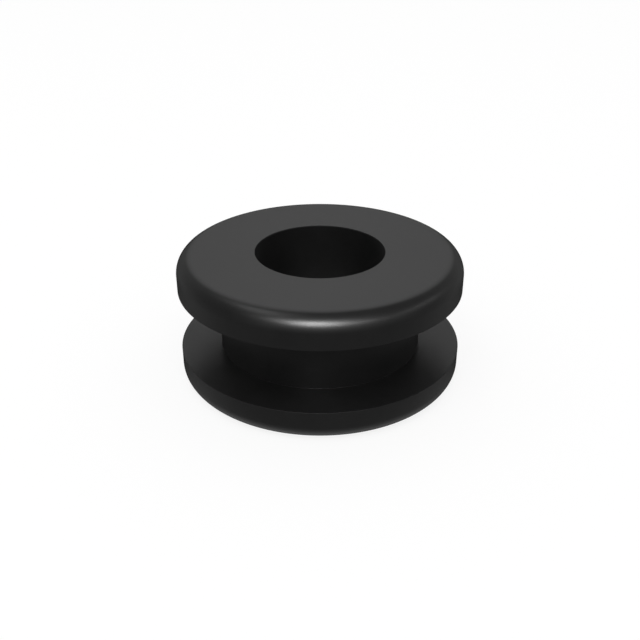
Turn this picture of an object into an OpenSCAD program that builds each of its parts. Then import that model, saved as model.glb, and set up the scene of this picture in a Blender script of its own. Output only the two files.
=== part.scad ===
// Rubber grommet: one soft moulding that lines a round hole in a panel.
// Two equal flanges close on the panel's faces, the groove between them holds
// the edge of the hole, and a cable passes through the straight bore.
// Lengths are in millimetres. The grommet stands on its lower flange at z = 0,
// with the bore along +Z, and it is the same either way up.

/* [Flanges] */
// Outer diameter of both flanges
flange_d = 22; // [18:0.5:40]
// Thickness of each flange
flange_t = 2.5; // [1.5:0.1:6]
// Radius of the round on the outer edge of each flange, away from the groove
edge_r = 1.25; // [0.25:0.05:2.45]

/* [Groove] */
// Diameter at the bottom of the groove, which fills the hole in the panel
groove_d = 15.7; // [12:0.1:19]
// Width of the groove, which takes the thickness of the panel
groove_w = 5; // [1:0.1:12]

/* [Bore] */
// Diameter of the straight bore
bore_d = 10; // [2:0.1:14]

/* [Hidden] */
$fn = 144;
flange_r = flange_d / 2;
groove_r = groove_d / 2;
bore_r = bore_d / 2;
height = 2 * flange_t + groove_w;
// The round can't be deeper than the flange that it runs along
round_r = min(edge_r, flange_t);
// How far the groove's cutter runs past the rim
cut_past = 1;

// What the round takes off a square corner, with the centre of its arc at the origin
module corner_cut() {
    difference() {
        square(round_r);
        circle(round_r);
    }
}

// Plain wall from the bore out to the rim, before the groove and the rounds
module wall_profile() {
    translate([bore_r, 0])
        square([flange_r - bore_r, height]);
}

// Square-edged groove round the middle of the height
module groove_profile() {
    translate([groove_r, flange_t])
        square([flange_r - groove_r + cut_past, groove_w]);
}

// Half of the grommet's section, right of its axis: the rounds are on the two
// outer corners alone, and the mouths of the bore and of the groove stay sharp
module half_section() {
    difference() {
        wall_profile();
        groove_profile();
        // Upper corner, and its mirror image below the middle of the height
        for (flip = [0, 1])
            translate([flange_r - round_r, height / 2])
                mirror([0, flip])
                    translate([0, height / 2 - round_r])
                        corner_cut();
    }
}

module grommet() {
    color([0.16, 0.16, 0.16])
        rotate_extrude()
            half_section();
}

grommet();
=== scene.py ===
# %% [markdown]
# A rubber grommet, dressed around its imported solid. The grommet is one soft black moulding that lines a
# round hole in a panel: two flanges close on the panel, and a cable passes through the bore. This lesson
# turns its section into a mesh, gives it the skin of moulded rubber, and lights it as a plain studio does.

# %% Load the fixed frame
import math

import bpy
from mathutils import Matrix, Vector


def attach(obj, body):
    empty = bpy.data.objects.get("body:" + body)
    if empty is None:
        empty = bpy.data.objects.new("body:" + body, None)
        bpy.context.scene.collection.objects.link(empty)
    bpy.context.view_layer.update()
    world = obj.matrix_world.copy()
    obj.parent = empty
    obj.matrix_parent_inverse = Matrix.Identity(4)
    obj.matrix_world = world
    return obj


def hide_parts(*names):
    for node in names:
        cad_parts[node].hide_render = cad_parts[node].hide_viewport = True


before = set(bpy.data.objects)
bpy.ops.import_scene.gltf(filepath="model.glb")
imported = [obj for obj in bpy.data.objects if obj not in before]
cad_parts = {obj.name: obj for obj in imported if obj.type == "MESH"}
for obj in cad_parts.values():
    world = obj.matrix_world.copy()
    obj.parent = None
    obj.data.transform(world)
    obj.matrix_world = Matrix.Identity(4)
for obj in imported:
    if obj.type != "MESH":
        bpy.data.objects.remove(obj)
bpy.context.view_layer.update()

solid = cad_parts["grommet"]
print("loaded the grommet with", len(solid.data.vertices), "corners")

# %% [markdown]
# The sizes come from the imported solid, so the mesh always fits it. The section of a turned part can be read
# off its corners: how far each one lies from the axis, and how high it is. Typing the sizes in again would
# be quicker, but the two models would part company as soon as one of them changed.

# %% Sizes, read off the solid, in metres
NEAR = 1e-6

reach = [math.hypot(v.co.x, v.co.y) for v in solid.data.vertices]
rise = [v.co.z for v in solid.data.vertices]
height = max(rise)
flange_r = max(reach)
bore_r = min(reach)
edge_r = flange_r - max(r for r, z in zip(reach, rise) if z > height - NEAR)
flange_t = max(z for r, z in zip(reach, rise) if r > flange_r - NEAR and z < height / 2)
groove_r = min(r for r, z in zip(reach, rise) if abs(z - flange_t) < NEAR and r > bore_r + NEAR)
for name, size in (("height", height), ("flange radius", flange_r), ("bore radius", bore_r),
                   ("edge round", edge_r), ("flange thickness", flange_t), ("groove radius", groove_r)):
    print(f"{name}: {size * 1000:.2f} mm")

# %% [markdown]
# A mould can't cut a perfectly sharp edge into rubber, and a perfectly sharp edge in a render looks like
# paper. The eight corners of the half section are listed with the radius that each one really has: a large
# round on the outside of the flanges, and a trace of one at the lips of the groove, at its root and at the
# mouths of the bore. A Bevel modifier could do this, but it gives every corner the same width.

# %% The half section, as corners with their own radii
LIP_R = 0.000008
ROOT_R = 0.000006

section = [
    (Vector((bore_r, 0)), LIP_R),
    (Vector((flange_r, 0)), edge_r),
    (Vector((flange_r, flange_t)), LIP_R),
    (Vector((groove_r, flange_t)), ROOT_R),
    (Vector((groove_r, height - flange_t)), ROOT_R),
    (Vector((flange_r, height - flange_t)), LIP_R),
    (Vector((flange_r, height)), edge_r),
    (Vector((bore_r, height)), LIP_R),
]
print("the half section has", len(section), "corners")

# %% [markdown]
# Each corner becomes an arc. The arc starts where the straight side before it ends, and its points carry
# their own outward normals, which point away from the centre of the arc, or towards it where the corner is
# hollow. Knowing the true normals matters: the highlight on the rim is only a few pixels high, and normals
# guessed from the faces would make it ripple.

# %% Turning a corner into an arc
ROUND_STEPS = 20
TRACE_STEPS = 3


def arc(before, corner, after, radius):
    """Points along the round of one right-angled corner, each with its outward normal."""
    into = (corner - before).normalized()
    onto = (after - corner).normalized()
    hollow = into.cross(onto) < 0
    centre = corner - into * radius + onto * radius
    steps = TRACE_STEPS if radius in (LIP_R, ROOT_R) else ROUND_STEPS
    found = []
    for i in range(steps + 1):
        turn = math.pi / 2 * i / steps
        away = into * math.sin(turn) - onto * math.cos(turn)
        found.append((centre + away * radius, -away if hollow else away))
    return found


# %% The rounded half section
outline = []
for i, (corner, radius) in enumerate(section):
    before = section[i - 1][0]
    after = section[(i + 1) % len(section)][0]
    outline += arc(before, corner, after, radius)
print("the rounded outline has", len(outline), "points")

# %% [markdown]
# The real grommet is pressed in a mould that was itself turned on a lathe, so the mesh is turned as well:
# the outline goes round the axis in many small steps. A Screw modifier would do the same, but turning it by
# hand lets each corner of the mesh keep the exact normal of the section.

# %% Turn the section into the grommet
TURNS = 288


def turned(name, points, turns):
    """A closed mesh made by turning an outline round the Z axis, with exact normals."""
    corners, normals, faces = [], [], []
    count = len(points)
    for k in range(turns):
        c = math.cos(2 * math.pi * k / turns)
        s = math.sin(2 * math.pi * k / turns)
        for point, normal in points:
            corners.append((point.x * c, point.x * s, point.y))
            normals.append((normal.x * c, normal.x * s, normal.y))
        for i in range(count):
            here, there = k * count, (k + 1) % turns * count
            j = (i + 1) % count
            faces.append((here + i, there + i, there + j, here + j))
    mesh = bpy.data.meshes.new(name)
    mesh.from_pydata(corners, [], faces)
    mesh.shade_smooth()
    mesh.normals_split_custom_set_from_vertices(normals)
    piece = bpy.data.objects.new(name, mesh)
    bpy.context.scene.collection.objects.link(piece)
    return piece


grommet = turned("rubber_moulding", outline, TURNS)
print("turned", len(grommet.data.polygons), "faces")

# %% [markdown]
# A surface is described by small sums: so much grain, a little less where the skin is worn smooth. Wiring
# each sum by hand hides what it says. One small class wraps a socket, so that the sum can be written as
# Python, and each operator adds the Math node that does it. Any other node comes from one method.

# %% Writing node sums as Python


class Value:
    """A number that varies over a surface. Arithmetic on it adds Math nodes."""

    def __init__(self, nodes, socket):
        self.nodes = nodes
        self.socket = socket

    def math(self, operation, first, second):
        return self.nodes.add("ShaderNodeMath", {"operation": operation}, {0: first, 1: second})

    def __add__(self, other):
        return self.math("ADD", self, other)

    def __radd__(self, other):
        return self.math("ADD", other, self)

    def __sub__(self, other):
        return self.math("SUBTRACT", self, other)

    def __rsub__(self, other):
        return self.math("SUBTRACT", other, self)

    def __mul__(self, other):
        return self.math("MULTIPLY", self, other)

    def __rmul__(self, other):
        return self.math("MULTIPLY", other, self)


class Nodes:
    """The nodes of one material or world."""

    def __init__(self, owner):
        owner.use_nodes = True
        self.tree = owner.node_tree
        self.tree.nodes.clear()

    def add(self, kind, settings=None, sockets=None, output=0):
        """Adds a node, sets it up, fills its sockets with values or links, and gives one output."""
        node = self.tree.nodes.new(kind)
        for name, value in (settings or {}).items():
            if name == "stops":
                self.set_stops(node.color_ramp, value)
            else:
                setattr(node, name, value)
        for name, value in (sockets or {}).items():
            if isinstance(value, Value):
                self.tree.links.new(value.socket, node.inputs[name])
            else:
                node.inputs[name].default_value = value
        return Value(self, node.outputs[output]) if node.outputs else node

    def set_stops(self, ramp, stops):
        """Gives a ramp these (place, grey) stops."""
        while len(ramp.elements) > 1:
            ramp.elements.remove(ramp.elements[-1])
        for i, (place, grey) in enumerate(stops):
            stop = ramp.elements[0] if i == 0 else ramp.elements.new(place)
            stop.position = place
            stop.color = (grey, grey, grey, 1)


# %% [markdown]
# Moulded black rubber is coloured through with carbon, so its colour hardly changes. What makes it look
# like rubber is its skin. The mould is blasted, and leaves a grain far finer than a millimetre: noise that
# only tilts the normal. Rubber also sweats a little wax, which lies on it as a bloom: slow noise lifts the
# colour and the roughness in soft patches.
#
# At a slant the eye looks through more of that bloom, so there the gloss is duller, and part of it is
# covered. Layer Weight gives the slant, from 0 face on to 1 at the outline. It roughens the skin, and it
# mixes in a dull powder. Without it, a white room would draw a bright line round every edge.
#
# The places differ too. Fingers rub the big rounds clean, so they shine. The flat ends are covered by a pale
# grey film, which also stops a bright lamp from turning a whole end white. Its grey is a painted sheen: it
# stands for the light that the ends catch from above. The rim walls keep the rough of the blasted mould.
# Both places are found from the size of the part: an end is as far up or down as the mesh goes, and a rim
# wall is as far out.

# %% The skin of moulded rubber
BLACK = (0.0085, 0.0085, 0.0085, 1)
BLOOM = (0.0115, 0.0115, 0.0115, 1)
SKIN_ROUGHNESS = 0.33
BLOOM_DULLS = 0.03
SLANT_DULLS = 0.45
SLANT_COVERS = 0.8
GRAIN_DULLS = 0.04
# The flat ends are painted this pale grey: a painted sheen for the light they catch from above.
PAINTED_SHEEN_FILM = (0.0750, 0.0750, 0.0750, 1)
PAINTED_SHEEN_FILM_COVERS = 0.75
WALL_DULLS = 0.08
SKIN_IOR = 1.155
GRAIN = {"Scale": 7000, "Detail": 3, "Roughness": 0.55}
GRAIN_DEPTH = 0.000003
BLOOM_PATCHES = {"Scale": 260, "Detail": 4, "Roughness": 0.6}
BLOOM_STOPS = [(0.35, 0), (0.7, 1)]
PLACE_FADE = 0.00015


def close_to(nodes, value, limit):
    """1 where a value is at its limit, and fading to 0 a little way before it."""
    return nodes.add("ShaderNodeMapRange", {"interpolation_type": "SMOOTHSTEP"},
                     {0: value, 1: limit - PLACE_FADE, 2: limit})


def flat_end(nodes, place):
    """1 on the two flat ends of the grommet."""
    rise = nodes.add("ShaderNodeSeparateXYZ", None, {0: place}, output="Z") - height / 2
    return close_to(nodes, nodes.add("ShaderNodeMath", {"operation": "ABSOLUTE"}, {0: rise}), height / 2)


def rim_wall(nodes, place):
    """1 on the upright walls of the two rims."""
    level = nodes.add("ShaderNodeVectorMath", {"operation": "MULTIPLY"}, {0: place, 1: (1, 1, 0)})
    out = nodes.add("ShaderNodeVectorMath", {"operation": "LENGTH"}, {0: level}, output="Value")
    return close_to(nodes, out, flange_r)


print("skin roughness", SKIN_ROUGHNESS, "and IOR", SKIN_IOR)

# %% The material of the moulding


def rubber():
    """Black rubber with its grain, its bloom, its rubbed rounds and a painted sheen on its flat ends."""
    material = bpy.data.materials.new("moulded_black_rubber")
    nodes = Nodes(material)
    place = nodes.add("ShaderNodeTexCoord", output="Object")
    grain = nodes.add("ShaderNodeTexNoise", None, {"Vector": place, **GRAIN})
    patches = nodes.add("ShaderNodeTexNoise", None, {"Vector": place, **BLOOM_PATCHES})
    bloom = nodes.add("ShaderNodeValToRGB", {"stops": BLOOM_STOPS}, {"Fac": patches})
    colour = nodes.add("ShaderNodeMix", {"data_type": "RGBA"},
                       {"Factor": bloom, 6: BLACK, 7: BLOOM}, output=2)
    slant = nodes.add("ShaderNodeLayerWeight", output="Facing")
    dullness = SLANT_DULLS * (slant * slant * slant) + WALL_DULLS * rim_wall(nodes, place)
    unevenness = BLOOM_DULLS * bloom + GRAIN_DULLS * (grain - 0.5)
    normal = nodes.add("ShaderNodeBump", None, {"Height": grain, "Distance": GRAIN_DEPTH, "Strength": 1.0})
    skin = nodes.add("ShaderNodeBsdfPrincipled", None,
                     {"Base Color": colour, "Roughness": SKIN_ROUGHNESS + dullness + unevenness,
                      "IOR": SKIN_IOR, "Normal": normal})
    end = flat_end(nodes, place)
    # On the flat ends the dull coat takes the pale grey, a painted sheen; elsewhere it takes the bloom
    # colour.
    bloom_and_painted_sheen = nodes.add("ShaderNodeMix", {"data_type": "RGBA"}, {"Factor": end, 6: BLOOM, 7: PAINTED_SHEEN_FILM}, output=2)
    powder_and_painted_sheen = nodes.add("ShaderNodeBsdfPrincipled", None,
                       {"Base Color": bloom_and_painted_sheen, "Roughness": 1, "Specular IOR Level": 0})
    bare = (1 - SLANT_COVERS * (slant * slant)) * (1 - PAINTED_SHEEN_FILM_COVERS * end)
    surface = nodes.add("ShaderNodeMixShader", None, {0: 1 - bare, 1: skin, 2: powder_and_painted_sheen})
    nodes.add("ShaderNodeOutputMaterial", None, {"Surface": surface})
    return material


grommet.data.materials.append(rubber())
print("dressed the moulding in", grommet.data.materials[0].name)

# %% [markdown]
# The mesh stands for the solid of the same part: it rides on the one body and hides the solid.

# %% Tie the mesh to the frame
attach(grommet, "root")
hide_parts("grommet")
print("the mesh rides on the root and stands for the grommet")

# %% [markdown]
# The floor is a pale sheet that reaches far past the view. To the eye and in reflections it is as white as
# paper, so part of its white is given to those rays alone, and the rest is a plain pale surface that keeps
# the soft shadow of the grommet. The light that it throws back on the rubber stays modest.
#
# Close round its foot the sheet glows in the gloss alone, with no lamp under it: a painted reflection. It
# draws a thin pale line along the lower round and a faint light in the bore. A lamp above the sheet couldn't
# do it: the round turns down, so it mirrors nothing but the sheet.

# %% The floor
FLOOR_HALF = 1.5
FLOOR_GREY = 0.20
FLOOR_GLOW = 0.85
# Near the foot the floor glows for glossy rays only: a painted reflection, not a lamp.
PAINTED_REFLECTION_GLOW = 1.4
PAINTED_REFLECTION_GLOW_REACH = 0.0125


def seen(nodes):
    """1 for what the eye sees, straight or in a reflection or through glass, and 0 for diffuse light."""
    def ray(kind):
        return nodes.add("ShaderNodeLightPath", output=kind)
    return ray("Is Camera Ray") + ray("Is Glossy Ray") + ray("Is Transmission Ray")


def floor_paper():
    """Pale matte paper that looks white, with a painted reflection: near the foot of the grommet it glows in
    the gloss alone.
    """
    material = bpy.data.materials.new("studio_floor")
    nodes = Nodes(material)
    paper = nodes.add("ShaderNodeBsdfDiffuse", None, {"Color": (FLOOR_GREY, FLOOR_GREY, FLOOR_GREY, 1)})
    place = nodes.add("ShaderNodeTexCoord", output="Object")
    out = nodes.add("ShaderNodeVectorMath", {"operation": "LENGTH"}, {0: place}, output="Value")
    # The ring round the foot that carries the painted reflection.
    painted_reflection_ring = nodes.add("ShaderNodeMapRange", {"interpolation_type": "SMOOTHSTEP"},
                     {0: out, 1: PAINTED_REFLECTION_GLOW_REACH, 2: flange_r})
    gloss = nodes.add("ShaderNodeLightPath", output="Is Glossy Ray")
    strength = FLOOR_GLOW * seen(nodes) + PAINTED_REFLECTION_GLOW * (painted_reflection_ring * gloss)
    glow = nodes.add("ShaderNodeEmission", None, {"Strength": strength})
    both = nodes.add("ShaderNodeAddShader", None, {0: paper, 1: glow})
    nodes.add("ShaderNodeOutputMaterial", None, {"Surface": both})
    return material


sheet = bpy.data.meshes.new("floor")
sheet.from_pydata([(x * FLOOR_HALF, y * FLOOR_HALF, 0) for x, y in ((-1, -1), (1, -1), (1, 1), (-1, 1))],
                  [], [(0, 1, 2, 3)])
sheet.materials.append(floor_paper())
floor = bpy.data.objects.new("floor", sheet)
bpy.context.scene.collection.objects.link(floor)
print("floor", 2 * FLOOR_HALF, "m across")

# %% [markdown]
# Round the floor the studio is white as well. The world is white to the eye and in reflections, and gives
# the surfaces an even fill of plain strength.

# %% The room
FILL = 0.62


def white_room():
    """White walls all round, with a plain fill."""
    world = bpy.data.worlds.new("white_room")
    nodes = Nodes(world)
    strength = FILL + seen(nodes) * (1 - FILL)
    room = nodes.add("ShaderNodeBackground", None, {"Color": (1, 1, 1, 1), "Strength": strength})
    nodes.add("ShaderNodeOutputWorld", None, {"Surface": room})
    return world


bpy.context.scene.world = white_room()
print("room fill", FILL)

# %% [markdown]
# Soft boxes are placed by the angle at which the grommet sees them: which way, how high, how wide. Their
# brightness is that of the glowing cloth itself, so a box can change its size without changing its tone in
# a reflection. Two boxes in front, the smaller over the top of the larger, draw the highlight on the rounded
# rim. The boxes at its sides carry it on round the rim, and the two behind give the top a faint sheen.
#
# Only the overhead box lights the colour of the rubber. The others shine in its gloss alone, so each can be
# as bright as its highlight needs and still leave the black of the rubber black. Letting them light the
# colour as well would be truer to a real lamp, but it would turn the whole part grey.

# %% Soft boxes
LAMP_DISTANCE = 0.4
LIGHTS_THE_COLOUR = ("overhead",)


def soft_box(name, azimuth, elevation, wide, tall, brightness):
    """A glowing panel aimed at the grommet. Azimuth 0 is the camera's side, and right is positive."""
    light = bpy.data.lights.new(name, "AREA")
    light.shape = "ELLIPSE"
    light.size = 2 * LAMP_DISTANCE * math.tan(math.radians(wide) / 2)
    light.size_y = 2 * LAMP_DISTANCE * math.tan(math.radians(tall) / 2)
    area = light.size * light.size_y * math.pi / 4
    light.energy = brightness * math.pi * area
    lamp = bpy.data.objects.new(name, light)
    turn, lift = math.radians(azimuth), math.radians(elevation)
    towards = Vector((math.sin(turn) * math.cos(lift), -math.cos(turn) * math.cos(lift), math.sin(lift)))
    lamp.location = towards * LAMP_DISTANCE + Vector((0, 0, height / 2))
    lamp.rotation_euler = towards.to_track_quat("Z", "Y").to_euler()
    lamp.visible_diffuse = name in LIGHTS_THE_COLOUR
    bpy.context.scene.collection.objects.link(lamp)
    print(f"{name}: {light.size * 1000:.0f} by {light.size_y * 1000:.0f} mm, {light.energy:.2f} W")
    return lamp


soft_box("overhead", -20, 64, 44, 34, 1.6)
soft_box("back_high", 180, 46, 44, 22, 4.0)
soft_box("back_low", 180, 28, 24, 12, 5.2)
soft_box("key", -2.5, 37.5, 34, 25, 115)
soft_box("key_upper", -7, 44.5, 17, 13, 76)
soft_box("left_front", -32, 43, 24, 14, 16.5)
soft_box("right_front", 32, 33, 24, 12, 26)
soft_box("right_low", 46, 17, 40, 8, 4.5)
soft_box("right_strip", 83, 29, 50, 12, 7.4)
soft_box("left_wash", -98, 66, 36, 20, 12.2)

# %% [markdown]
# The camera stands close, a little over six flange radii away, and looks down on the near rim. Its
# distance, its height and its lens decide how the two flanges differ in size and how much of the bore
# shows, so they are the first thing to get right, before any material.

# %% The camera
CAMERA_REACH = 6.1016207
CAMERA_ELEVATION = 27.5652
CAMERA_LOOK_DOWN = 28.3739
CAMERA_LENS = 47.5858

camera_data = bpy.data.cameras.new("camera")
camera_data.lens = CAMERA_LENS
camera_data.clip_start = 0.001
camera = bpy.data.objects.new("camera", camera_data)
lift = math.radians(CAMERA_ELEVATION)
away = CAMERA_REACH * flange_r
camera.location = (0, -math.cos(lift) * away, height / 2 + math.sin(lift) * away)
camera.rotation_euler = (math.radians(90 - CAMERA_LOOK_DOWN), 0, 0)
bpy.context.scene.collection.objects.link(camera)
bpy.context.scene.camera = camera
bpy.context.scene.view_settings.view_transform = "Standard"
print(f"camera {away * 1000:.1f} mm from the middle of the grommet")
